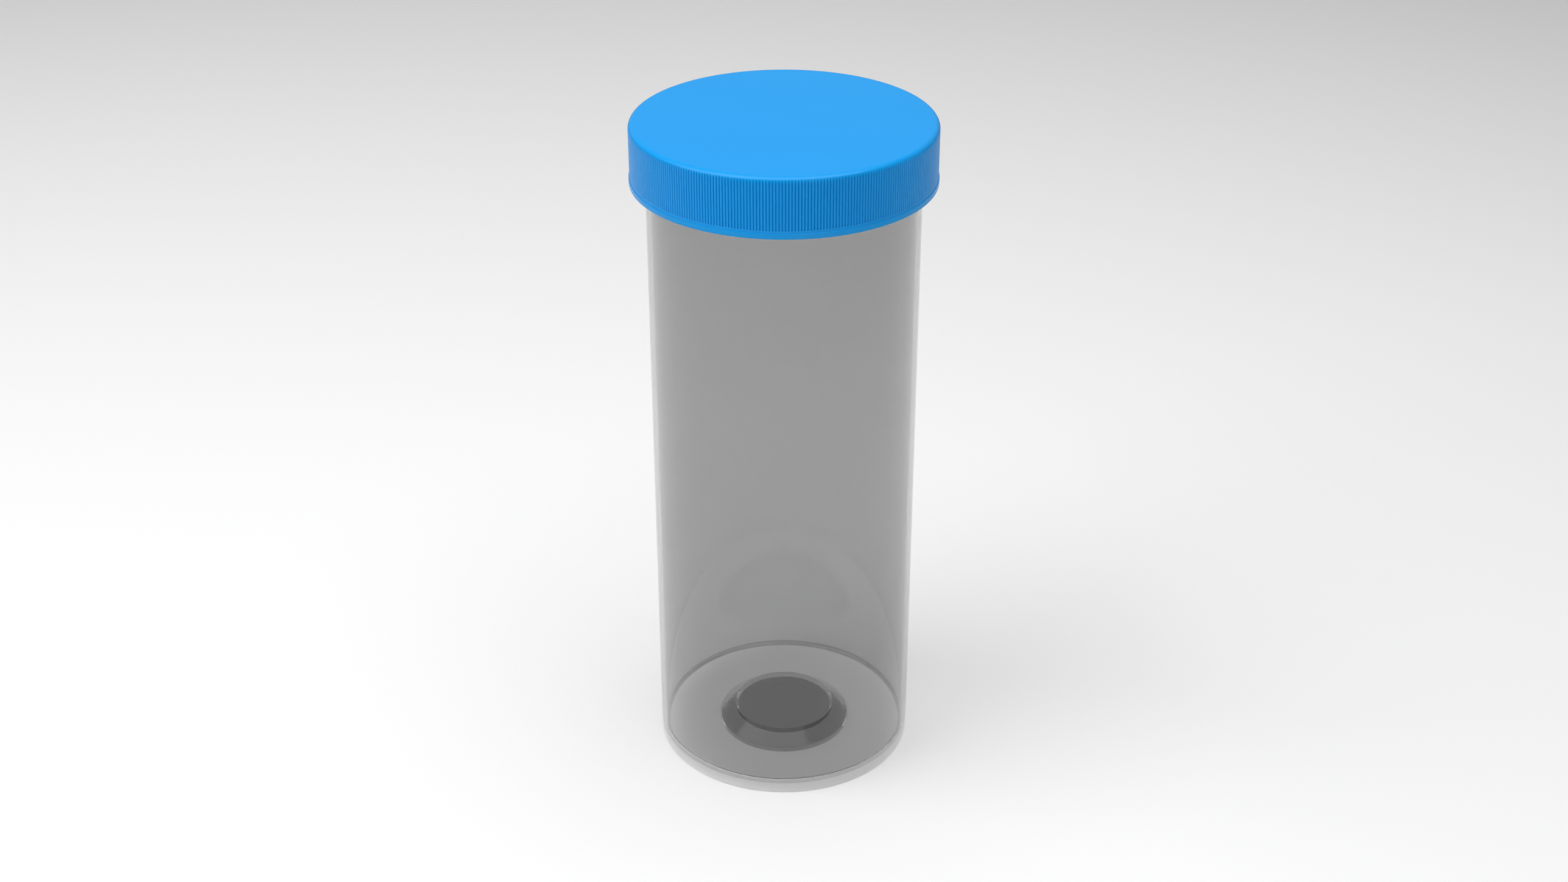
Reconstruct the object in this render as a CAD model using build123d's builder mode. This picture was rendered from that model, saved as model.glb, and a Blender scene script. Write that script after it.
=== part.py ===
"""A prescription vial with a two-piece push-and-turn closure, in millimetres.

The origin is at the centre of the base, where the vial stands, and +Z is the vial's axis.
"""

import os
from math import cos, radians, sin, sqrt

from build123d import *

os.makedirs("parts", exist_ok=True)

# Vial barrel
body_radius = 25.0
body_wall = 0.95
body_inner_radius = body_radius - body_wall
floor_height = 2.3
base_edge_radius = 0.6
floor_corner_radius = 0.9

# Raised centre of the floor, hollow beneath
punt_foot_radius = 12.85
punt_top_radius = 9.9
punt_height = 4.8
recess_depth = 3.1
recess_foot_radius = 12.9
recess_top_radius = 9.3

# Neck and its two-start thread, under the closure
shoulder_height = 119.4
shoulder_step = 0.3
neck_radius = body_radius - shoulder_step
rim_height = 125.6
thread_starts = 2
thread_lead = 6.35
thread_depth = 0.7
thread_bed = 0.25
thread_root_width = 1.25
thread_crest_width = 0.65
neck_thread_turns = 0.56
neck_thread_bottom = 121.0

# Blue shell
overall_height = 130.05
cap_bottom = 119.05
shell_radius = 27.77
shell_top_thickness = 1.2
shell_inner_radius = 26.6
shell_edge_radius = 0.95
flare_radius = 27.92
flare_height = 1.05
flare_edge_radius = 0.07
groove_count = 320
groove_width = 0.26
groove_rise = 0.4
bead_radius = 25.7
bead_foot_radius = 26.3
bead_land = 0.35
bead_height = 1.05

# White threaded cap inside the shell, and its liner
inner_cap_gap = 0.05
inner_cap_top = 127.5
inner_cap_thickness = 1.1
inner_cap_radius = 26.5
inner_cap_edge_radius = 0.5
bore_radius = 25.65
cap_thread_start = 55
cap_thread_turns = 0.5
thread_flank_gap = 0.2
liner_radius = 25.35

# Drive between the two caps
drive_count = 8
drive_height = 0.55
drive_inner_radius = 19.5
drive_width = 4.6
tooth_length = 6.0
tooth_ramp = 1.6
lug_length = 5.0

# Spring fingers between the two caps
finger_count = 6
finger_ring_inner = 12.5
finger_ring_outer = 17.5
finger_ring_thickness = 0.4
finger_width = 3.0
finger_reach = 6.0
finger_pad = 2.2
finger_thickness = 0.35

shell_underside = overall_height - shell_top_thickness
inner_cap_bottom = cap_bottom + bead_height + inner_cap_gap
inner_cap_underside = inner_cap_top - inner_cap_thickness
spring_height = shell_underside - inner_cap_top
thread_mid_width = (thread_root_width + thread_crest_width) / 2
cap_thread_drop = thread_mid_width + thread_flank_gap
cap_thread_bottom = neck_thread_bottom - cap_thread_drop + thread_lead * cap_thread_start / 360


def radial_plane(angle, distance, height):
    """A plane facing away from the axis, its X along the turn and its Y upwards."""
    outward = Vector(cos(radians(angle)), sin(radians(angle)), 0)
    around = Vector(-sin(radians(angle)), cos(radians(angle)), 0)
    return Plane(origin=outward * distance + Vector(0, 0, height), x_dir=around, z_dir=outward)


def thread_corners(root_radius, depth):
    """The corners of a thread's section, sunk a little into its wall. A negative depth points inwards."""
    bed = root_radius - thread_bed * (1 if depth > 0 else -1)
    return [
        (bed, -thread_root_width / 2),
        (root_radius, -thread_root_width / 2),
        (root_radius + depth, -thread_crest_width / 2),
        (root_radius + depth, thread_crest_width / 2),
        (root_radius, thread_root_width / 2),
        (bed, thread_root_width / 2),
    ]


# One start of each thread, from the +X side round and up
with BuildPart() as neck_thread:
    with BuildLine(Plane.XY.offset(neck_thread_bottom)) as path:
        Helix(pitch=thread_lead, height=thread_lead * neck_thread_turns, radius=neck_radius)
    with BuildSketch(Plane((0, 0, neck_thread_bottom), x_dir=(1, 0, 0), z_dir=(0, -1, 0))):
        with BuildLine():
            Polyline(*thread_corners(neck_radius, thread_depth), close=True)
        make_face()
    sweep(path=path.wires()[0], is_frenet=True)

with BuildPart() as cap_thread:
    with BuildLine(Plane.XY.offset(cap_thread_bottom)) as path:
        Helix(pitch=thread_lead, height=thread_lead * cap_thread_turns, radius=bore_radius)
    with BuildSketch(Plane((0, 0, cap_thread_bottom), x_dir=(1, 0, 0), z_dir=(0, -1, 0))):
        with BuildLine():
            Polyline(*thread_corners(bore_radius, -thread_depth), close=True)
        make_face()
    sweep(path=path.wires()[0], is_frenet=True)

# The vial is one moulding: barrel, floor with its raised centre, and neck
with BuildPart() as vial_body:
    with BuildSketch(Plane.XZ):
        with BuildLine():
            Polyline(
                (0, recess_depth),
                (recess_top_radius, recess_depth),
                (recess_foot_radius, 0),
                (body_radius, 0),
                (body_radius, shoulder_height),
                (neck_radius, shoulder_height + shoulder_step),
                (neck_radius, rim_height),
                (body_inner_radius, rim_height),
                (body_inner_radius, floor_height),
                (punt_foot_radius, floor_height),
                (punt_top_radius, punt_height),
                (0, punt_height),
                close=True,
            )
        profile = make_face()
        fillet(profile.vertices().sort_by_distance((body_radius, 0))[0], base_edge_radius)
        inner_corner = (body_inner_radius, floor_height)
        fillet(profile.vertices().sort_by_distance(inner_corner)[0], floor_corner_radius)
    revolve(axis=Axis.Z)
    for start in range(thread_starts):
        add(neck_thread.part.rotate(Axis.Z, start * 360 / thread_starts))

# The blue shell: top, grooved skirt with a flared foot, and the bead that holds it on the inner cap
with BuildPart() as outer_cap:
    with BuildSketch(Plane.XZ):
        with BuildLine():
            Polyline(
                (0, shell_underside),
                (shell_inner_radius, shell_underside),
                (shell_inner_radius, cap_bottom + bead_height),
                (bead_radius, cap_bottom + bead_height),
                (bead_radius, cap_bottom + bead_height - bead_land),
                (bead_foot_radius, cap_bottom),
                (flare_radius, cap_bottom),
                (flare_radius, cap_bottom + flare_height),
                (shell_radius, cap_bottom + flare_height),
                (shell_radius, overall_height),
                (0, overall_height),
                close=True,
            )
        profile = make_face()
        top_edge = (shell_radius, overall_height)
        fillet(profile.vertices().sort_by_distance(top_edge)[0], shell_edge_radius)
        flare_corners = [(flare_radius, cap_bottom), (flare_radius, cap_bottom + flare_height)]
        for corner in flare_corners:
            fillet(profile.vertices().sort_by_distance(corner)[0], flare_edge_radius)
    revolve(axis=Axis.Z)
    groove_bottom = cap_bottom + flare_height + groove_rise
    with BuildSketch(Plane.XY.offset(groove_bottom)):
        with PolarLocations(shell_radius, groove_count):
            Rectangle(groove_width / sqrt(2), groove_width / sqrt(2), rotation=45)
    extrude(amount=overall_height - groove_bottom, mode=Mode.SUBTRACT)
    for lug in range(drive_count):
        lug_angle = (lug + 0.5) * 360 / drive_count
        with BuildSketch(radial_plane(lug_angle, drive_inner_radius, shell_underside)):
            with Locations((0, -drive_height / 2)):
                Rectangle(lug_length, drive_height)
        extrude(amount=drive_width)

# The threaded cap inside the shell, with drive teeth on its top
with BuildPart() as inner_cap:
    with BuildSketch(Plane.XZ):
        with BuildLine():
            Polyline(
                (0, inner_cap_underside),
                (bore_radius, inner_cap_underside),
                (bore_radius, inner_cap_bottom),
                (inner_cap_radius, inner_cap_bottom),
                (inner_cap_radius, inner_cap_top),
                (0, inner_cap_top),
                close=True,
            )
        profile = make_face()
        top_edge = (inner_cap_radius, inner_cap_top)
        fillet(profile.vertices().sort_by_distance(top_edge)[0], inner_cap_edge_radius)
    revolve(axis=Axis.Z)
    for start in range(thread_starts):
        add(cap_thread.part.rotate(Axis.Z, cap_thread_start + start * 360 / thread_starts))
    for tooth in range(drive_count):
        tooth_angle = tooth * 360 / drive_count
        with BuildSketch(radial_plane(tooth_angle, drive_inner_radius, inner_cap_top)):
            with BuildLine():
                Polyline(
                    (-tooth_length / 2, 0),
                    (tooth_length / 2, 0),
                    (tooth_length / 2, drive_height),
                    (tooth_ramp - tooth_length / 2, drive_height),
                    (-tooth_length / 2, drive_height / 2),
                    close=True,
                )
            make_face()
        extrude(amount=drive_width)

# The foamed disc that seals on the vial's rim
with BuildPart() as liner:
    with BuildSketch(Plane.XY.offset(rim_height)):
        Circle(liner_radius)
    extrude(amount=inner_cap_underside - rim_height)

# A ring on the inner cap's top with fingers that reach up to the shell
with BuildPart() as spring_fingers:
    with BuildSketch(Plane.XY.offset(inner_cap_top)):
        Circle(finger_ring_outer)
        Circle(finger_ring_inner, mode=Mode.SUBTRACT)
    extrude(amount=finger_ring_thickness)
    finger_radius = (finger_ring_inner + finger_ring_outer - finger_width) / 2
    for finger in range(finger_count):
        with BuildSketch(radial_plane(finger * 360 / finger_count, finger_radius, inner_cap_top)):
            with BuildLine():
                Polyline(
                    (-finger_reach / 2, 0),
                    (-finger_reach / 2, finger_ring_thickness),
                    (finger_reach / 2 - finger_pad, spring_height),
                    (finger_reach / 2, spring_height),
                    (finger_reach / 2, spring_height - finger_thickness),
                    (finger_reach / 2 - finger_pad, spring_height - finger_thickness),
                    (-finger_reach / 2 + finger_pad, 0),
                    close=True,
                )
            make_face()
        extrude(amount=finger_width)

pieces = {
    "vial_body": vial_body,
    "outer_cap": outer_cap,
    "inner_cap": inner_cap,
    "liner": liner,
    "spring_fingers": spring_fingers,
}
for name, piece in pieces.items():
    piece.part.label = name
    export_step(piece.part, f"parts/{name}.step")
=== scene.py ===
from math import cos, pi, radians, sin

import bmesh
import bpy
from mathutils import Matrix, Vector


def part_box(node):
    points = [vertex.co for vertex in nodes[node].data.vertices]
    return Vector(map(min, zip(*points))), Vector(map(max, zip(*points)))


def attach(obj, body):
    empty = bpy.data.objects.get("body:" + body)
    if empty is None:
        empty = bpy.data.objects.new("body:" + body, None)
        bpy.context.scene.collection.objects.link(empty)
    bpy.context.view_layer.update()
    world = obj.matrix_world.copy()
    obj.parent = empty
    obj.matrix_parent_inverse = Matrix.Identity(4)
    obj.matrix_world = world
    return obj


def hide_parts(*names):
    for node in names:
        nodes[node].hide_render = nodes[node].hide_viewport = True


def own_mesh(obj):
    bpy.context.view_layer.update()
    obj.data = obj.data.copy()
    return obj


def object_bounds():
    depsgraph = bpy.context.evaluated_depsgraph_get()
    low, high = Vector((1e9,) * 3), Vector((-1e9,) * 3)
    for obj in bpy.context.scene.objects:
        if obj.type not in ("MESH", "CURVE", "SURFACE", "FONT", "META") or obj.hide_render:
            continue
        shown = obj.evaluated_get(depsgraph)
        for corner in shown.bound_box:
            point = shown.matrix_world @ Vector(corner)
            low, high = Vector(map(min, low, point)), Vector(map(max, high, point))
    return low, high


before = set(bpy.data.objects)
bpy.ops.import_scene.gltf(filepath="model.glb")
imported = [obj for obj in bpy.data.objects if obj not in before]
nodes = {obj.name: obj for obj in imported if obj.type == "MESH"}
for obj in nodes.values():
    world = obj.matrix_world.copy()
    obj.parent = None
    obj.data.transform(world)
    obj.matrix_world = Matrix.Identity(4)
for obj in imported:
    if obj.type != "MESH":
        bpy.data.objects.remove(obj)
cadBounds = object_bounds()
scene = bpy.context.scene
mm = 0.001
millimetre = Matrix.Scale(mm, 4)

print("frame loaded:", ", ".join(sorted(nodes)))


def linearColour(hexCode):
    channels = [int(hexCode[place:place + 2], 16) / 255 for place in (1, 3, 5)]
    return [c / 12.92 if c <= 0.04045 else ((c + 0.055) / 1.055) ** 2.4 for c in channels] + [1.0]


def addNode(tree, kind, settings=None, links=None):
    # a link comes from a socket, or from a node, which stands for its first output
    node = tree.nodes.new(kind)
    for key, value in (settings or {}).items():
        if isinstance(key, int) or key in node.inputs:
            node.inputs[key].default_value = value
        else:
            setattr(node, key, value)
    for key, source in (links or {}).items():
        socket = source.outputs[0] if isinstance(source, bpy.types.Node) else source
        tree.links.new(socket, node.inputs[key])
    return node


def newObject(name, mesh):
    piece = bpy.data.objects.new(name, mesh)
    scene.collection.objects.link(piece)
    return piece


def meshFrom(build, name):
    mesh = bpy.data.meshes.new(name)
    build.to_mesh(mesh)
    build.free()
    return mesh


def runPoints(start, end, rows, hold):
    # what stands between a straight run's ends: even rows, or one point close to each end, so that the
    # shading of a rounded corner stays at the corner
    if rows:
        return [start.lerp(end, i / rows) for i in range(1, rows)]
    along = end - start
    shortRun = 4 * hold
    if along.length < shortRun:
        return []
    step = along.normalized() * hold
    return [point for point in (start + step, end - step) if point.x > hold]


profileLook = {"steps": 6, "hold": 0.12, "smallRadius": 0.15, "smallSteps": 2}


def roundedProfile(corners, steps=profileLook["steps"]):
    # corners are (distance from axis, height, corner radius and, if any, rows in the run before it) in mm
    points = []
    for index, (x, y, radius, *rows) in enumerate(corners):
        here = Vector((x, y))
        if radius == 0:
            arc = [here]
        else:
            before = (Vector(corners[index - 1][:2]) - here).normalized()
            after = (Vector(corners[index + 1][:2]) - here).normalized()
            half = before.angle(after) / 2
            middle = here + (before + after).normalized() * radius / sin(half)
            first, last = [here + way * radius * cos(half) / sin(half) - middle for way in (before, after)]
            sweep = first.angle(last)
            count = steps if radius > profileLook["smallRadius"] else profileLook["smallSteps"]
            arc = []
            for step in range(count + 1):
                share = step / count
                spoke = (first * sin((1 - share) * sweep) + last * sin(share * sweep)) / sin(sweep)
                arc.append(middle + spoke)
        if points:
            points += runPoints(points[-1], arc[0], rows[0] if rows else 0, profileLook["hold"])
        points += arc
    return [(point.x, point.y) for point in points]


def turnedMesh(name, profile, angles):
    # a closed shell turned about Z from a profile in mm that starts and ends on the axis
    build = bmesh.new()
    rings = []
    for distance, height in profile:
        if distance < 1e-6:
            rings.append([build.verts.new((0, 0, height))])
        else:
            rings.append([build.verts.new((distance * cos(a), distance * sin(a), height)) for a in angles])
    count = len(angles)
    for low, high in zip(rings, rings[1:]):
        for i in range(count):
            j = (i + 1) % count
            corners = [low[i % len(low)], low[j % len(low)], high[j % len(high)], high[i % len(high)]]
            build.faces.new(list(dict.fromkeys(corners)))
    bmesh.ops.recalc_face_normals(build, faces=build.faces)
    bmesh.ops.transform(build, matrix=millimetre, verts=build.verts)
    return meshFrom(build, name)


def evenAngles(count):
    return [2 * pi * i / count for i in range(count)]


def prismMesh(name, outline, start, end, bevel):
    # an outline (along the turn, height) drawn out from one distance from the axis to another, in mm
    build = bmesh.new()
    near = [build.verts.new((start, x, z)) for x, z in outline]
    far = [build.verts.new((end, x, z)) for x, z in outline]
    build.faces.new(near)
    build.faces.new(far)
    for i in range(len(outline)):
        j = (i + 1) % len(outline)
        build.faces.new([near[i], near[j], far[j], far[i]])
    bmesh.ops.recalc_face_normals(build, faces=build.faces)
    bmesh.ops.bevel(build, geom=build.edges[:], offset=bevel, segments=2, affect="EDGES", profile=0.6)
    bmesh.ops.transform(build, matrix=millimetre, verts=build.verts)
    return meshFrom(build, name)


def smoothed(mesh, sharpAngle):
    mesh.polygons.foreach_set("use_smooth", [True] * len(mesh.polygons))
    mesh.set_sharp_from_angle(angle=radians(sharpAngle))
    return mesh


def joinedMesh(name, parts):
    build = bmesh.new()
    for part in parts:
        build.from_mesh(part)
    return meshFrom(build, name)


def assign(piece, material):
    piece.data.materials.clear()
    piece.data.materials.append(material)


def startTree(name, inputs):
    tree = bpy.data.node_groups.new(name, "GeometryNodeTree")
    tree.interface.new_socket("Geometry", in_out="INPUT", socket_type="NodeSocketGeometry")
    for label, kind in inputs.items():
        tree.interface.new_socket(label, in_out="INPUT", socket_type="NodeSocket" + kind)
    tree.interface.new_socket("Geometry", in_out="OUTPUT", socket_type="NodeSocketGeometry")
    source = addNode(tree, "NodeGroupInput")
    return tree, source.outputs


def endTree(tree, geometry, material):
    real = addNode(tree, "GeometryNodeRealizeInstances", links={"Geometry": geometry})
    painted = addNode(tree, "GeometryNodeSetMaterial", links={"Geometry": real, "Material": material})
    addNode(tree, "NodeGroupOutput", links={"Geometry": painted})
    return tree


def polarPosition(tree):
    # each point's X, Y and Z, its distance from the axis and its angle around it
    place = addNode(tree, "GeometryNodeInputPosition")
    axes = addNode(tree, "ShaderNodeSeparateXYZ", links={0: place}).outputs
    xSquare = addNode(tree, "ShaderNodeMath", {"operation": "MULTIPLY"}, {0: axes[0], 1: axes[0]})
    ySquare = addNode(tree, "ShaderNodeMath", {"operation": "MULTIPLY"}, {0: axes[1], 1: axes[1]})
    squares = addNode(tree, "ShaderNodeMath", {"operation": "ADD"}, {0: xSquare, 1: ySquare})
    distance = addNode(tree, "ShaderNodeMath", {"operation": "SQRT"}, {0: squares})
    angle = addNode(tree, "ShaderNodeMath", {"operation": "ARCTAN2"}, {0: axes[1], 1: axes[0]})
    return axes, distance, angle


def movedOutwards(tree, geometry, axes, distance, newDistance):
    # keeps each point's height and angle, and gives it a new distance from the axis
    divisor = addNode(tree, "ShaderNodeMath", {"operation": "MAXIMUM", 1: 1e-9}, {0: distance})
    share = addNode(tree, "ShaderNodeMath", {"operation": "DIVIDE"}, {0: newDistance, 1: divisor})
    newX = addNode(tree, "ShaderNodeMath", {"operation": "MULTIPLY"}, {0: axes[0], 1: share})
    newY = addNode(tree, "ShaderNodeMath", {"operation": "MULTIPLY"}, {0: axes[1], 1: share})
    place = addNode(tree, "ShaderNodeCombineXYZ", links={0: newX, 1: newY, 2: axes[2]})
    return addNode(tree, "GeometryNodeSetPosition", links={"Geometry": geometry, "Position": place})


def makeGripTree():
    # straight V grooves cut upwards into a round skirt, which run out to points in its rounded top edge
    tree, given = startTree("gripGrooves", {
        "Groove Count": "Float", "Skirt Radius": "Float", "Groove Width": "Float", "Groove Depth": "Float",
        "Groove Bottom": "Float", "Material": "Material"})
    axes, distance, angle = polarPosition(tree)

    # how far aside of its groove's middle each point stands
    share = addNode(tree, "ShaderNodeMath", {"operation": "DIVIDE", 1: 2 * pi}, {0: angle})
    turns = addNode(tree, "ShaderNodeMath", {"operation": "MULTIPLY"}, {0: share, 1: given["Groove Count"]})
    turn = addNode(tree, "ShaderNodeMath", {"operation": "FRACT"}, {0: turns})
    fromMiddle = addNode(tree, "ShaderNodeMath", {"operation": "SUBTRACT", 1: 0.5}, {0: turn})
    offset = addNode(tree, "ShaderNodeMath", {"operation": "ABSOLUTE"}, {0: fromMiddle})
    around = addNode(tree, "ShaderNodeMath", {"operation": "MULTIPLY", 1: 2 * pi}, {0: given["Skirt Radius"]})
    pitch = addNode(tree, "ShaderNodeMath", {"operation": "DIVIDE"}, {0: around, 1: given["Groove Count"]})
    aside = addNode(tree, "ShaderNodeMath", {"operation": "MULTIPLY"}, {0: offset, 1: pitch})

    # the V, deepest in its middle, and nothing below the grooves
    halfWidth = addNode(tree, "ShaderNodeMath", {"operation": "MULTIPLY", 1: 0.5}, {0: given["Groove Width"]})
    across = addNode(tree, "ShaderNodeMath", {"operation": "DIVIDE"}, {0: aside, 1: halfWidth})
    notch = addNode(tree, "ShaderNodeMath", {"operation": "SUBTRACT", "use_clamp": True, 0: 1.0}, {1: across})
    above = addNode(tree, "ShaderNodeMath", {"operation": "GREATER_THAN"}, {
        0: axes[2], 1: given["Groove Bottom"]})
    depth = addNode(tree, "ShaderNodeMath", {"operation": "MULTIPLY"}, {0: notch, 1: given["Groove Depth"]})
    cut = addNode(tree, "ShaderNodeMath", {"operation": "MULTIPLY"}, {0: depth, 1: above})
    deepest = addNode(tree, "ShaderNodeMath", {"operation": "SUBTRACT"}, {0: given["Skirt Radius"], 1: cut})

    # below the grooves the limit stands a metre out, so that the flared foot keeps its size
    below = addNode(tree, "ShaderNodeMath", {"operation": "SUBTRACT", 0: 1.0}, {1: above})
    limit = addNode(tree, "ShaderNodeMath", {"operation": "ADD"}, {0: deepest, 1: below})
    cutDistance = addNode(tree, "ShaderNodeMath", {"operation": "MINIMUM"}, {0: distance, 1: limit})
    grooved = movedOutwards(tree, given["Geometry"], axes, distance, cutDistance)
    return endTree(tree, grooved, given["Material"])


wallTolerance = 0.05  # mm: points nearer than this to a wall's radius belong to the wall


def makeThreadTree(starts):
    # raises a thread's ridge from a round wall, with ends that fade into it. A negative depth points inwards
    tree, given = startTree("threadRidges", {
        "Wall Radius": "Float", "Lead": "Float", "Turns": "Float", "Bottom": "Float", "Start Angle": "Float",
        "Depth": "Float", "Root Width": "Float", "Crest Width": "Float", "Fade Angle": "Float",
        "Material": "Material"})
    axes, distance, angle = polarPosition(tree)
    slopes = addNode(tree, "ShaderNodeMath", {"operation": "SUBTRACT"}, {
        0: given["Root Width"], 1: given["Crest Width"]})
    flank = addNode(tree, "ShaderNodeMath", {"operation": "MULTIPLY", 1: 0.5}, {0: slopes})
    halfRoot = addNode(tree, "ShaderNodeMath", {"operation": "MULTIPLY", 1: 0.5}, {0: given["Root Width"]})
    wholeAngle = addNode(tree, "ShaderNodeMath", {"operation": "MULTIPLY", 1: 2 * pi}, {0: given["Turns"]})
    ridge = None
    for start in range(starts):
        begin = addNode(tree, "ShaderNodeMath", {"operation": "ADD", 1: 2 * pi * start / starts}, {
            0: given["Start Angle"]})
        fromBegin = addNode(tree, "ShaderNodeMath", {"operation": "SUBTRACT"}, {0: angle, 1: begin})
        along = addNode(tree, "ShaderNodeMath", {"operation": "WRAP", 1: 2 * pi, 2: 0.0}, {0: fromBegin})
        turned = addNode(tree, "ShaderNodeMath", {"operation": "DIVIDE", 1: 2 * pi}, {0: along})
        climb = addNode(tree, "ShaderNodeMath", {"operation": "MULTIPLY"}, {0: given["Lead"], 1: turned})
        centre = addNode(tree, "ShaderNodeMath", {"operation": "ADD"}, {0: given["Bottom"], 1: climb})
        fromCentre = addNode(tree, "ShaderNodeMath", {"operation": "SUBTRACT"}, {0: axes[2], 1: centre})
        aside = addNode(tree, "ShaderNodeMath", {"operation": "ABSOLUTE"}, {0: fromCentre})
        inside = addNode(tree, "ShaderNodeMath", {"operation": "SUBTRACT"}, {0: halfRoot, 1: aside})
        rise = addNode(tree, "ShaderNodeMath", {"operation": "DIVIDE", "use_clamp": True}, {
            0: inside, 1: flank})
        fadeIn = addNode(tree, "ShaderNodeMath", {"operation": "DIVIDE", "use_clamp": True}, {
            0: along, 1: given["Fade Angle"]})
        remaining = addNode(tree, "ShaderNodeMath", {"operation": "SUBTRACT"}, {0: wholeAngle, 1: along})
        fadeOut = addNode(tree, "ShaderNodeMath", {"operation": "DIVIDE", "use_clamp": True}, {
            0: remaining, 1: given["Fade Angle"]})
        fade = addNode(tree, "ShaderNodeMath", {"operation": "MULTIPLY"}, {0: fadeIn, 1: fadeOut})
        oneStart = addNode(tree, "ShaderNodeMath", {"operation": "MULTIPLY"}, {0: rise, 1: fade})
        if ridge is None:
            ridge = oneStart
        else:
            ridge = addNode(tree, "ShaderNodeMath", {"operation": "MAXIMUM"}, {0: ridge, 1: oneStart})
    fromWall = addNode(tree, "ShaderNodeMath", {"operation": "SUBTRACT"}, {
        0: distance, 1: given["Wall Radius"]})
    gap = addNode(tree, "ShaderNodeMath", {"operation": "ABSOLUTE"}, {0: fromWall})
    onWall = addNode(tree, "ShaderNodeMath", {"operation": "LESS_THAN", 1: wallTolerance * mm}, {0: gap})
    wallRidge = addNode(tree, "ShaderNodeMath", {"operation": "MULTIPLY"}, {0: ridge, 1: onWall})
    height = addNode(tree, "ShaderNodeMath", {"operation": "MULTIPLY"}, {0: wallRidge, 1: given["Depth"]})
    raised = addNode(tree, "ShaderNodeMath", {"operation": "ADD"}, {0: distance, 1: height})
    threaded = movedOutwards(tree, given["Geometry"], axes, distance, raised)
    return endTree(tree, threaded, given["Material"])


def makeRoundPatternTree():
    # copies of one small shape, turned evenly about Z
    tree, given = startTree("roundPattern", {"Count": "Int", "Start Angle": "Float", "Material": "Material"})
    spots = addNode(tree, "GeometryNodePoints", links={"Count": given["Count"]})
    index = addNode(tree, "GeometryNodeInputIndex")
    share = addNode(tree, "ShaderNodeMath", {"operation": "DIVIDE"}, {0: index, 1: given["Count"]})
    around = addNode(tree, "ShaderNodeMath", {"operation": "MULTIPLY", 1: 2 * pi}, {0: share})
    turn = addNode(tree, "ShaderNodeMath", {"operation": "ADD"}, {0: around, 1: given["Start Angle"]})
    euler = addNode(tree, "ShaderNodeCombineXYZ", links={2: turn})
    rotation = addNode(tree, "FunctionNodeEulerToRotation", links={0: euler})
    copies = addNode(tree, "GeometryNodeInstanceOnPoints", links={
        "Points": spots, "Instance": given["Geometry"], "Rotation": rotation})
    return endTree(tree, copies, given["Material"])


def grown(name, mesh, tree, values):
    # runs a tree on a mesh and gives back the plain result
    carrier = newObject(name, mesh)
    modifier = carrier.modifiers.new("grow", "NODES")
    modifier.node_group = tree
    sockets = {item.name: item.identifier for item in tree.interface.items_tree if item.in_out == "INPUT"}
    for label, value in values.items():
        modifier[sockets[label]] = value
    bpy.context.view_layer.update()
    result = bpy.data.meshes.new_from_object(carrier.evaluated_get(bpy.context.evaluated_depsgraph_get()))
    result.name = name
    bpy.data.objects.remove(carrier)
    return result


def startMaterial(name):
    material = bpy.data.materials.new(name)
    material.use_nodes = True
    tree = material.node_tree
    tree.nodes.clear()
    output = addNode(tree, "ShaderNodeOutputMaterial")
    return material, tree, output


# the base colour is painted light for the floor lit under the vial; the corner colour is painted shade and
# the middle colour painted shadow
smokeClearLook = {
    "colour": "#c5c5c5", "paintedLightBaseColour": "#f4f4f4", "cornerShadeColour": "#808080", "puntShadowColour": "#9f9f9f",
    "lampColour": "#e2e2e2", "ior": 1.49, "roughness": 0.015,
    "flowSize": 18.18, "flowStrength": 0.02, "flowDepth": 0.05,
    # mm: where each zone starts to end and where it has ended
    "baseTop": (2.31, 2.36), "cornerEdge": (24.1, 24.3), "cornerTop": (3.1, 3.3),
    "middleEdge": (12.8, 13.2), "middleTop": (4.9, 5.6),
}


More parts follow.
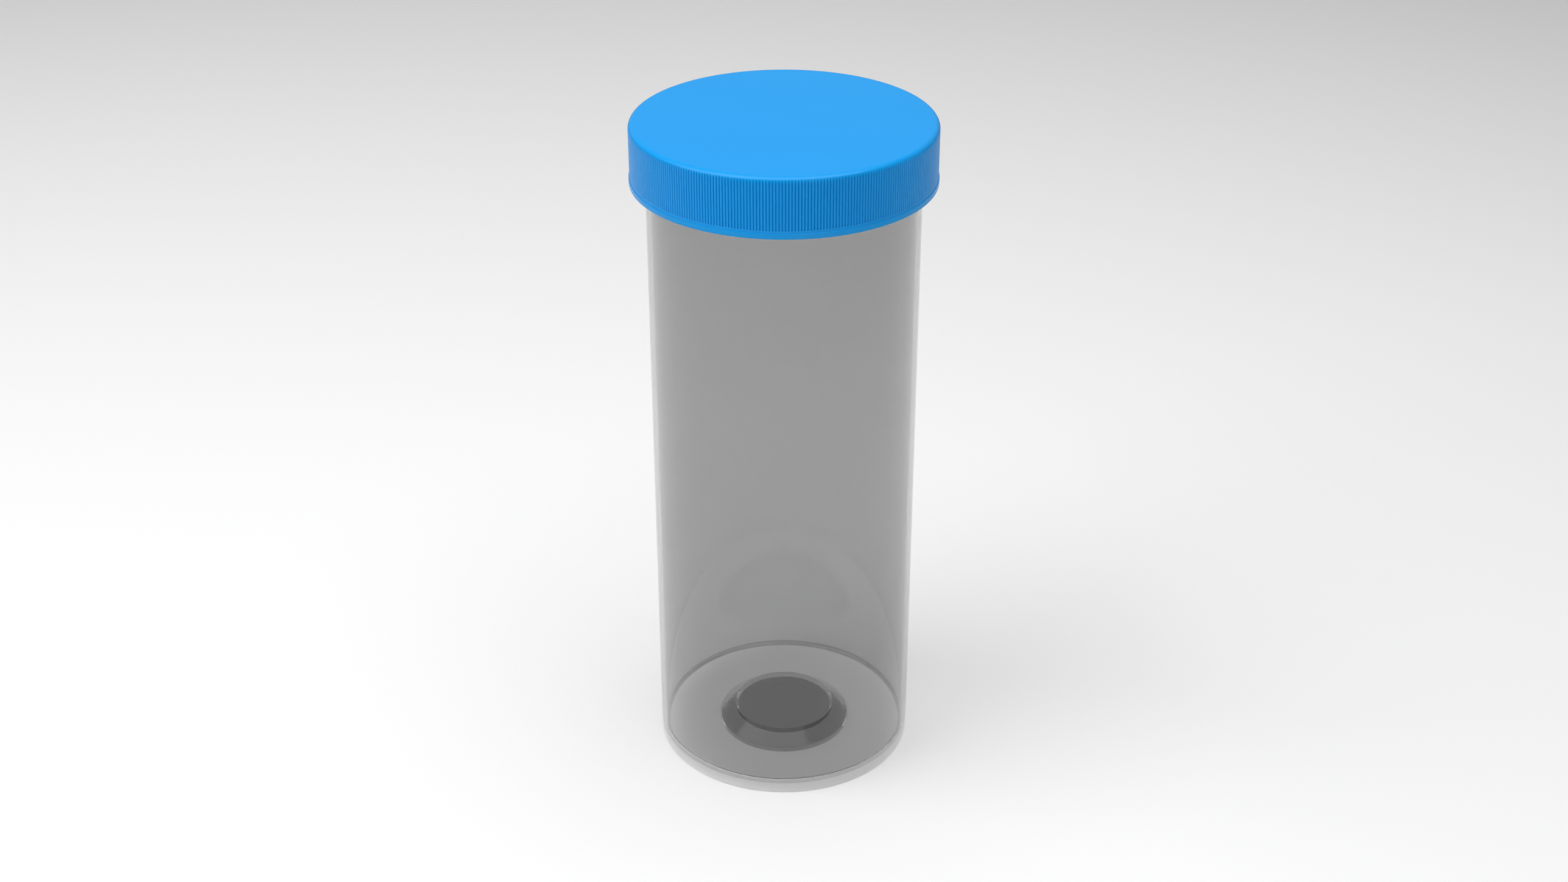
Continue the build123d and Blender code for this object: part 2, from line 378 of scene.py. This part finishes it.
def makeSmokeClearPlastic():
    # injection-moulded clear polystyrene with a smoke tint: hard, glossy and clear, grey where walls add up;
    # lighter in the base as painted light for the floor lit beneath it, darker in its inner corner as painted
    # shade, and darker in its middle as painted shadow for the shaded floor under the punt's hollow
    look = smokeClearLook
    material, tree, output = startMaterial("smokeClearPolystyrene")
    place = addNode(tree, "ShaderNodeTexCoord").outputs["Object"]
    axes = addNode(tree, "ShaderNodeSeparateXYZ", links={0: place}).outputs
    flat = addNode(tree, "ShaderNodeCombineXYZ", links={0: axes[0], 1: axes[1]})
    distance = addNode(tree, "ShaderNodeVectorMath", {"operation": "LENGTH"}, {0: flat}).outputs["Value"]
    inside = {}
    for edge, measure in (("baseTop", axes[2]), ("cornerEdge", distance), ("cornerTop", axes[2]),
                          ("middleEdge", distance), ("middleTop", axes[2])):
        starts, ends = look[edge]
        inside[edge] = addNode(tree, "ShaderNodeMapRange", {1: starts * mm, 2: ends * mm, 3: 1.0, 4: 0.0}, {
            0: measure})
    inCorner = addNode(tree, "ShaderNodeMath", {"operation": "MULTIPLY"}, {
        0: inside["cornerEdge"], 1: inside["cornerTop"]})
    inMiddle = addNode(tree, "ShaderNodeMath", {"operation": "MULTIPLY"}, {
        0: inside["middleEdge"], 1: inside["middleTop"]})
    # painted shade: darker in the inner corner where the floor meets the wall
    cornerShadeColour = addNode(tree, "ShaderNodeMix", {
        "data_type": "RGBA", 6: linearColour(look["colour"]), 7: linearColour(look["cornerShadeColour"])}, {
        0: inCorner})
    # painted light: the base is lighter, standing in for the floor lit beneath it
    wallColour = addNode(tree, "ShaderNodeMix", {"data_type": "RGBA", 7: linearColour(look["paintedLightBaseColour"])}, {
        0: inside["baseTop"], 6: cornerShadeColour.outputs[2]})
    # painted shadow: darker in the middle, standing in for the shaded floor under the punt's hollow
    colour = addNode(tree, "ShaderNodeMix", {"data_type": "RGBA", 7: linearColour(look["puntShadowColour"])}, {
        0: inMiddle, 6: wallColour.outputs[2]})
    flow = addNode(tree, "ShaderNodeTexNoise", {"Scale": 1 / (look["flowSize"] * mm), "Detail": 2.0}, {
        "Vector": place})
    bump = addNode(tree, "ShaderNodeBump", {
        "Strength": look["flowStrength"], "Distance": look["flowDepth"] * mm}, {"Height": flow})
    plastic = addNode(tree, "ShaderNodeBsdfPrincipled", {
        "IOR": look["ior"], "Roughness": look["roughness"], "Transmission Weight": 1.0}, {
        "Base Color": colour.outputs[2], "Normal": bump})
    lampLight = addNode(tree, "ShaderNodeBsdfTransparent", {"Color": linearColour(look["lampColour"])})
    path = addNode(tree, "ShaderNodeLightPath")
    both = addNode(tree, "ShaderNodeMixShader", links={
        0: path.outputs["Is Shadow Ray"], 1: plastic, 2: lampLight})
    tree.links.new(both.outputs[0], output.inputs["Surface"])
    return material


blueLook = {
    "colour": "#0c8dd5", "cloudColour": "#0e8fd7", "cloudSize": 9.0, "grainSize": 0.25, "grainStrength": 0.05,
    "grainDepth": 0.02, "roughness": 0.25, "ior": 1.49, "shine": 0.2, "subsurface": 0.0, "scatter": 0.4,
}
naturalLook = {
    "colour": "#eeeeea", "cloudColour": "#e6e6e0", "cloudSize": 7.0, "grainSize": 0.25, "grainStrength": 0.05,
    "grainDepth": 0.02, "roughness": 0.38, "ior": 1.49, "shine": 0.5, "subsurface": 0.3, "scatter": 0.6,
}


def makeMouldedPlastic(name, look):
    # moulded plastic: an even colour with a faint cloudiness, and the fine spark-eroded grain of its mould
    material, tree, output = startMaterial(name)
    place = addNode(tree, "ShaderNodeTexCoord").outputs["Object"]
    cloud = addNode(tree, "ShaderNodeTexNoise", {"Scale": 1 / (look["cloudSize"] * mm), "Detail": 3.0}, {
        "Vector": place})
    colour = addNode(tree, "ShaderNodeMix", {
        "data_type": "RGBA", 6: linearColour(look["colour"]), 7: linearColour(look["cloudColour"])}, {
        0: cloud})
    grain = addNode(tree, "ShaderNodeTexNoise", {"Scale": 1 / (look["grainSize"] * mm), "Detail": 2.0}, {
        "Vector": place})
    bump = addNode(tree, "ShaderNodeBump", {
        "Strength": look["grainStrength"], "Distance": look["grainDepth"] * mm}, {"Height": grain})
    plastic = addNode(tree, "ShaderNodeBsdfPrincipled", {
        "IOR": look["ior"], "Roughness": look["roughness"], "Specular IOR Level": look["shine"],
        "Subsurface Weight": look["subsurface"], "Subsurface Radius": (1.0, 1.0, 1.0),
        "Subsurface Scale": look["scatter"] * mm}, {"Base Color": colour.outputs[2], "Normal": bump})
    tree.links.new(plastic.outputs[0], output.inputs["Surface"])
    return material


foamLook = {
    "colour": "#f2f1ec", "cellColour": "#dcdad2", "cellSize": 0.2, "cellStrength": 0.25, "cellDepth": 0.05,
    "roughness": 0.75, "ior": 1.5,
}


def makeFoam():
    # foamed polyethylene sheet: matt white with closed cells about 0.2 mm across
    look = foamLook
    material, tree, output = startMaterial("foamedPolyethylene")
    place = addNode(tree, "ShaderNodeTexCoord").outputs["Object"]
    cells = addNode(tree, "ShaderNodeTexVoronoi", {"Scale": 1 / (look["cellSize"] * mm)}, {"Vector": place})
    colour = addNode(tree, "ShaderNodeMix", {
        "data_type": "RGBA", 6: linearColour(look["cellColour"]), 7: linearColour(look["colour"])}, {
        0: cells})
    bump = addNode(tree, "ShaderNodeBump", {
        "Strength": look["cellStrength"], "Distance": look["cellDepth"] * mm}, {"Height": cells})
    sheet = addNode(tree, "ShaderNodeBsdfPrincipled", {"Roughness": look["roughness"], "IOR": look["ior"]}, {
        "Base Color": colour.outputs[2], "Normal": bump})
    tree.links.new(sheet.outputs[0], output.inputs["Surface"])
    return material


smokeClear = makeSmokeClearPlastic()
bluePlastic = makeMouldedPlastic("bluePolypropylene", blueLook)
naturalPlastic = makeMouldedPlastic("naturalPolypropylene", naturalLook)
foam = makeFoam()
print("materials made")


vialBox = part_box("vial_body")
vial = {
    "radius": 25.0, "wall": 0.95, "floor": 2.3, "baseEdge": 0.6, "floorCorner": 0.9,
    "puntFoot": 12.85, "puntTop": 9.9, "puntHeight": 4.8, "puntEdge": 0.25,
    "recessDepth": 3.1, "recessFoot": 12.9, "recessTop": 9.3,
    "shoulder": 119.4, "shoulderStep": 0.3, "rim": vialBox[1][2] / mm, "rimEdge": 0.2,
    "neckRows": 70, "columns": 256, "sharpAngle": 30,
}
neckThread = {
    "Wall Radius": (vial["radius"] - vial["shoulderStep"]) * mm, "Lead": 6.35 * mm, "Turns": 0.56,
    "Bottom": 121.0 * mm, "Start Angle": 0.0, "Depth": 0.7 * mm, "Root Width": 1.25 * mm,
    "Crest Width": 0.65 * mm, "Fade Angle": radians(14), "Material": smokeClear,
}


def makeVial():
    inner = vial["radius"] - vial["wall"]
    neck = vial["radius"] - vial["shoulderStep"]
    shoulderTop = vial["shoulder"] + vial["shoulderStep"]
    profile = roundedProfile([
        (0, vial["recessDepth"], 0),
        (vial["recessTop"], vial["recessDepth"], vial["puntEdge"]),
        (vial["recessFoot"], 0, vial["puntEdge"]),
        (vial["radius"], 0, vial["baseEdge"]),
        (vial["radius"], vial["shoulder"], 0),
        (neck, shoulderTop, 0),
        (neck, vial["rim"], vial["rimEdge"], vial["neckRows"]),
        (inner, vial["rim"], vial["rimEdge"]),
        (inner, vial["floor"], vial["floorCorner"]),
        (vial["puntFoot"], vial["floor"], vial["puntEdge"]),
        (vial["puntTop"], vial["puntHeight"], vial["puntEdge"]),
        (0, vial["puntHeight"], 0)])
    mesh = turnedMesh("vialShape", profile, evenAngles(vial["columns"]))
    mesh = grown("clearVial", mesh, makeThreadTree(2), neckThread)
    piece = newObject("clearVial", smoothed(mesh, vial["sharpAngle"]))
    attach(piece, "vial")
    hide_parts("vial_body")
    return piece


makeVial()
print("vial made")


# lugs and teeth stand on one ring, and "sink" is how far they reach into the cap that carries them
drive = {"inner": 19.5, "width": 4.6, "bevel": 0.08, "sink": 0.1}

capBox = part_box("outer_cap")
shell = {
    "radius": 27.77, "innerRadius": 26.6, "topThickness": 1.2, "topEdge": 0.95, "insideEdge": 0.3,
    "bottom": capBox[0][2] / mm, "top": capBox[1][2] / mm,
    "flare": 27.92, "flareHeight": 1.05, "flareEdge": 0.07,
    "bead": 25.7, "beadFoot": 26.3, "beadLand": 0.35, "beadHeight": 1.05, "beadEdge": 0.1, "footEdge": 0.05,
    "grooves": 320, "grooveWidth": 0.28, "grooveDepth": 0.2, "grooveRise": 0.4, "grooveStep": 0.02,
    "lugCount": 8, "lugLength": 5.0, "lugHeight": 0.55, "edgeSteps": 8, "sharpAngle": 30,
}


def makeShell():
    bottom, top = shell["bottom"], shell["top"]
    beadTop = bottom + shell["beadHeight"]
    flareTop = bottom + shell["flareHeight"]
    grooveBottom = flareTop + shell["grooveRise"]
    underside = top - shell["topThickness"]
    profile = roundedProfile([
        (0, underside, 0),
        (shell["innerRadius"], underside, shell["insideEdge"]),
        (shell["innerRadius"], beadTop, 0),
        (shell["bead"], beadTop, shell["beadEdge"]),
        (shell["bead"], beadTop - shell["beadLand"], shell["beadEdge"]),
        (shell["beadFoot"], bottom, shell["footEdge"]),
        (shell["flare"], bottom, shell["flareEdge"]),
        (shell["flare"], flareTop, shell["flareEdge"]),
        (shell["radius"], flareTop, 0),
        (shell["radius"], grooveBottom, 0),
        (shell["radius"], grooveBottom + shell["grooveStep"], 0),
        (shell["radius"], top, shell["topEdge"]),
        (0, top, 0)], steps=shell["edgeSteps"])
    # four columns to a groove: its two edges, its bottom and the middle of the land
    pitch = 2 * pi * shell["radius"] / shell["grooves"]
    halfWidth = shell["grooveWidth"] / 2 / pitch
    angles = []
    for groove in range(shell["grooves"]):
        for place in (0.0, 0.5 - halfWidth, 0.5, 0.5 + halfWidth):
            angles.append((groove + place) * 2 * pi / shell["grooves"])
    body = turnedMesh("shellShape", profile, angles)
    body = grown("shellGrip", body, makeGripTree(), {
        "Groove Count": float(shell["grooves"]), "Skirt Radius": shell["radius"] * mm,
        "Groove Width": shell["grooveWidth"] * mm, "Groove Depth": shell["grooveDepth"] * mm,
        "Groove Bottom": (grooveBottom + shell["grooveStep"] / 2) * mm, "Material": bluePlastic})
    half = shell["lugLength"] / 2
    lugBottom, lugTop = underside - shell["lugHeight"], underside + drive["sink"]
    lug = prismMesh("driveLug", [(-half, lugBottom), (half, lugBottom), (half, lugTop), (-half, lugTop)],
                    drive["inner"], drive["inner"] + drive["width"], drive["bevel"])
    lugs = grown("driveLugs", lug, makeRoundPatternTree(), {
        "Count": shell["lugCount"], "Start Angle": pi / shell["lugCount"], "Material": bluePlastic})
    mesh = joinedMesh("blueShell", [body, lugs])
    piece = newObject("blueShell", smoothed(mesh, shell["sharpAngle"]))
    assign(piece, bluePlastic)
    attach(piece, "closure_shell")
    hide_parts("outer_cap")
    return piece


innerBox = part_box("inner_cap")
innerCap = {
    "radius": 26.5, "bore": 25.65, "edge": 0.5, "footEdge": 0.1, "bottom": innerBox[0][2] / mm, "top": 127.5,
    "thickness": 1.1, "columns": 256, "boreRows": 70, "sharpAngle": 35,
    "teeth": 8, "toothHeight": 0.55, "toothLength": 6.0, "toothRamp": 1.6,
    "threadAngle": 55, "threadGap": 0.2,
}
# the cap's thread stands under the neck's: its own width and a small gap lower
threadWidth = (neckThread["Root Width"] + neckThread["Crest Width"]) / 2
threadDrop = threadWidth + innerCap["threadGap"] * mm
capThread = {
    "Wall Radius": innerCap["bore"] * mm, "Lead": neckThread["Lead"], "Turns": 0.5,
    "Bottom": neckThread["Bottom"] - threadDrop + neckThread["Lead"] * innerCap["threadAngle"] / 360,
    "Start Angle": radians(innerCap["threadAngle"]), "Depth": -neckThread["Depth"],
    "Root Width": neckThread["Root Width"], "Crest Width": neckThread["Crest Width"],
    "Fade Angle": neckThread["Fade Angle"], "Material": naturalPlastic,
}


def makeInnerCap():
    top = innerCap["top"]
    underside = top - innerCap["thickness"]
    profile = roundedProfile([
        (0, top, 0),
        (innerCap["radius"], top, innerCap["edge"]),
        (innerCap["radius"], innerCap["bottom"], innerCap["footEdge"]),
        (innerCap["bore"], innerCap["bottom"], innerCap["footEdge"]),
        (innerCap["bore"], underside, 0, innerCap["boreRows"]),
        (0, underside, 0)])
    body = turnedMesh("innerCapShape", profile, evenAngles(innerCap["columns"]))
    body = grown("innerCapBody", body, makeThreadTree(2), capThread)
    half = innerCap["toothLength"] / 2
    toothFoot, toothTop = top - drive["sink"], top + innerCap["toothHeight"]
    tooth = prismMesh("driveTooth", [
        (-half, toothFoot), (half, toothFoot), (half, toothTop), (innerCap["toothRamp"] - half, toothTop),
        (-half, top + innerCap["toothHeight"] / 2)],
        drive["inner"], drive["inner"] + drive["width"], drive["bevel"])
    teeth = grown("driveTeeth", tooth, makeRoundPatternTree(), {
        "Count": innerCap["teeth"], "Start Angle": 0.0, "Material": naturalPlastic})
    mesh = joinedMesh("threadedCap", [body, teeth])
    piece = newObject("threadedCap", smoothed(mesh, innerCap["sharpAngle"]))
    assign(piece, naturalPlastic)
    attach(piece, "closure_inner")
    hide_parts("inner_cap")
    return piece


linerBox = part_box("liner")
linerDisc = {
    "edge": 0.12, "footEdge": 0.06, "printInner": 23.9, "printOuter": 24.9, "printDepth": 0.06,
    "printSlope": 0.15, "printInnerEdge": 0.1, "printOuterEdge": 0.04, "printFootEdge": 0.02,
    "edgeSteps": 4, "columns": 192, "sharpAngle": 40,
}


def makeLiner():
    # the vial's rim leaves a shallow ring in the underside
    low, high = linerBox[0][2] / mm, linerBox[1][2] / mm
    radius = linerBox[1][0] / mm
    pressed = low + linerDisc["printDepth"]
    profile = roundedProfile([
        (0, low, 0),
        (linerDisc["printInner"], low, linerDisc["printInnerEdge"]),
        (linerDisc["printInner"] + linerDisc["printSlope"], pressed, linerDisc["printFootEdge"]),
        (linerDisc["printOuter"] - linerDisc["printSlope"], pressed, linerDisc["printFootEdge"]),
        (linerDisc["printOuter"], low, linerDisc["printOuterEdge"]),
        (radius, low, linerDisc["footEdge"]),
        (radius, high, linerDisc["edge"]),
        (0, high, 0)], steps=linerDisc["edgeSteps"])
    mesh = turnedMesh("foamLiner", profile, evenAngles(linerDisc["columns"]))
    piece = newObject("foamLiner", smoothed(mesh, linerDisc["sharpAngle"]))
    assign(piece, foam)
    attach(piece, "closure_seal")
    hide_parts("liner")
    return piece


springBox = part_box("spring_fingers")
spring = {
    "ringInner": 12.5, "ringOuter": 17.5, "ringThickness": 0.4, "width": 3.0, "reach": 6.0, "pad": 2.2,
    "thickness": 0.35, "count": 6, "bevel": 0.05, "pushTravel": 0.75, "gap": 0.02, "columns": 128,
    "sharpAngle": 30,
}


def makeSpring():
    low, high = springBox[0][2] / mm, springBox[1][2] / mm
    foot = low + spring["gap"]  # clear of the inner cap's top
    ringTop = low + spring["ringThickness"]
    build = bmesh.new()
    section = [(spring["ringInner"], foot), (spring["ringOuter"], foot), (spring["ringOuter"], ringTop),
               (spring["ringInner"], ringTop)]
    rings = [[build.verts.new((r * cos(a), r * sin(a), z)) for a in evenAngles(spring["columns"])]
             for r, z in section]
    for k in range(len(section)):
        near, far = rings[k], rings[(k + 1) % len(section)]
        for i in range(spring["columns"]):
            j = (i + 1) % spring["columns"]
            build.faces.new([near[i], near[j], far[j], far[i]])
    bmesh.ops.recalc_face_normals(build, faces=build.faces)
    bmesh.ops.transform(build, matrix=millimetre, verts=build.verts)
    ring = meshFrom(build, "springRing")
    half = spring["reach"] / 2
    middle = (spring["ringInner"] + spring["ringOuter"] - spring["width"]) / 2
    finger = prismMesh("springFinger", [
        (-half, foot), (-half, ringTop), (half - spring["pad"], high), (half, high),
        (half, high - spring["thickness"]), (half - spring["pad"], high - spring["thickness"]),
        (spring["pad"] - half, foot)], middle, middle + spring["width"], spring["bevel"])
    fingers = grown("springFingers", finger, makeRoundPatternTree(), {
        "Count": spring["count"], "Start Angle": 0.0, "Material": naturalPlastic})
    mesh = joinedMesh("returnSpring", [ring, fingers])
    piece = newObject("returnSpring", smoothed(mesh, spring["sharpAngle"]))
    assign(piece, naturalPlastic)
    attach(piece, "closure_spring")
    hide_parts("spring_fingers")
    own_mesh(piece)
    return piece


makeShell()
makeInnerCap()
makeLiner()
makeSpring()
print("closure made")


studio = {"floorColour": "#e7e7e7", "floorHalf": 4.0, "floorRise": 0.03}  # m, and the rise in mm


def makeFloor():
    material, tree, output = startMaterial("studioFloor")
    paint = addNode(tree, "ShaderNodeBsdfPrincipled", {
        "Base Color": linearColour(studio["floorColour"]), "Roughness": 1.0, "Specular IOR Level": 0.0})
    tree.links.new(paint.outputs[0], output.inputs["Surface"])
    mesh = bpy.data.meshes.new("studioFloor")
    far, low = studio["floorHalf"], studio["floorRise"] * mm
    corners = [(-far, -far, low), (far, -far, low), (far, far, low), (-far, far, low)]
    mesh.from_pydata(corners, [], [(0, 1, 2, 3)])
    floor = newObject("studioFloor", mesh)
    assign(floor, material)


# places and sizes in metres
lamps = {
    "keyLamp": {"place": (-0.591, -0.210, 0.715), "size": 0.8, "power": 5.2, "shadow": True},
    "topLamp": {"place": (0.055, -0.100, 0.780), "size": 0.8, "power": 2.6, "shadow": True},
    "fillLamp": {"place": (0.055, -0.100, 0.830), "size": 0.9, "power": 3.15, "shadow": False},
    "frontLamp": {"place": (0.300, -0.900, 0.240), "size": 0.6, "power": 1.3, "shadow": False},
}


def makeLamp(name, look):
    # a round soft lamp that looks at the middle of the floor
    data = bpy.data.lights.new(name, "AREA")
    data.shape = "DISK"
    data.size = look["size"]
    data.energy = look["power"]
    data.use_shadow = look["shadow"]
    lamp = bpy.data.objects.new(name, data)
    lamp.location = look["place"]
    lamp.rotation_euler = (-Vector(look["place"])).to_track_quat("-Z", "Y").to_euler()
    scene.collection.objects.link(lamp)


air = {"front": 0.09, "back": 0.34, "start": -0.2, "full": 0.9}


def makeAir():
    # the room beyond the floor, lighter behind the vial than in front of it
    world = bpy.data.worlds.new("studioAir")
    world.use_nodes = True
    tree = world.node_tree
    way = addNode(tree, "ShaderNodeTexCoord").outputs["Generated"]
    axes = addNode(tree, "ShaderNodeSeparateXYZ", links={0: way}).outputs
    strength = addNode(tree, "ShaderNodeMapRange", {
        "interpolation_type": "SMOOTHSTEP", 1: air["start"], 2: air["full"],
        3: air["front"], 4: air["back"]}, {0: axes[1]})
    tree.nodes["Background"].inputs["Color"].default_value = (1, 1, 1, 1)
    tree.links.new(strength.outputs[0], tree.nodes["Background"].inputs["Strength"])
    scene.world = world


view = {"lens": 50.0, "sensor": 36.0, "pitch": 28.762, "distance": 0.41792}


def makeCamera():
    # looks down at the middle of the vial's height
    data = bpy.data.cameras.new("camera")
    data.lens = view["lens"]
    data.sensor_width = view["sensor"]
    camera = bpy.data.objects.new("camera", data)
    middle = (cadBounds[0][2] + cadBounds[1][2]) / 2
    pitch = radians(view["pitch"])
    camera.location = (0, -view["distance"] * cos(pitch), middle + view["distance"] * sin(pitch))
    camera.rotation_euler = (pi / 2 - pitch, 0, 0)
    scene.collection.objects.link(camera)
    scene.camera = camera


makeFloor()
for lampName, lampLook in lamps.items():
    makeLamp(lampName, lampLook)
makeAir()
makeCamera()
scene.view_settings.view_transform = "Standard"
print("stage made")
